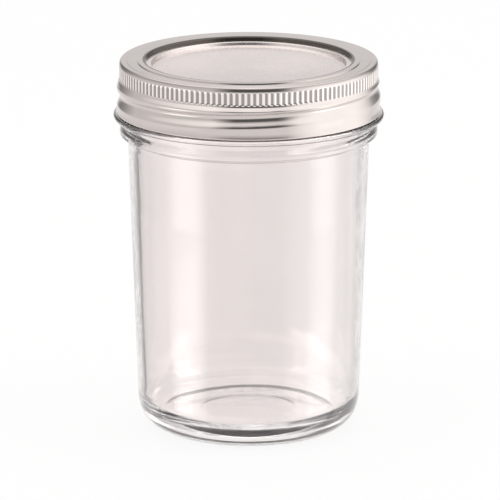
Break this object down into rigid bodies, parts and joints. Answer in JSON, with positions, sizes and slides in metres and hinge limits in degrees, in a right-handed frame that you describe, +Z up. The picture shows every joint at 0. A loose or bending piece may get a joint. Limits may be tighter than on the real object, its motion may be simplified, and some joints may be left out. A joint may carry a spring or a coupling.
{
  "type": "wide-mouth canning jar with two-piece screw closure",
  "caption": "Straight-sided clear glass jar with a ribbed metal screw band over a separate sunk-panel lid disc, used to keep sourdough starter.",
  "frame": {"origin": "centre of the jar's base, on the surface it stands on", "axes": "+Z up along the jar's axis, towards the lid; +X to the right as the picture shows it, the camera looking along +Y"},
  "size_m": [0.0924, 0.0924, 0.1285],
  "materials": {
    "clear_glass": "clear, smooth, slightly wavy pressed glass",
    "satin_tinplate": "satin tinplate with a fine rolled grain",
    "sealing_compound": "matt grey sealing compound",
    "bright_tinplate": "bright tinplate, softly polished"
  },
  "bodies": {
    "jar": {"glass_jar": "clear_glass"},
    "lid": {"lid_disc": "satin_tinplate", "sealing_ring": "sealing_compound"},
    "band": {"screw_band": "bright_tinplate"}
  },
  "joints": [
    {"name": "lid_lift", "type": "slide", "parent": "jar", "child": "lid", "axis": [0, 0, 1], "range_m": [0, 0.0254]},
    {"name": "band_turn", "type": "hinge", "parent": "lid", "child": "band", "pos_m": [0, 0, 0.12], "axis": [0, 0, 1], "range_deg": [0, 1440]}
  ],
  "couplings": [
    {"joint": "lid_lift", "follows": "band_turn", "m_per_rad": 0.0010106}
  ]
}
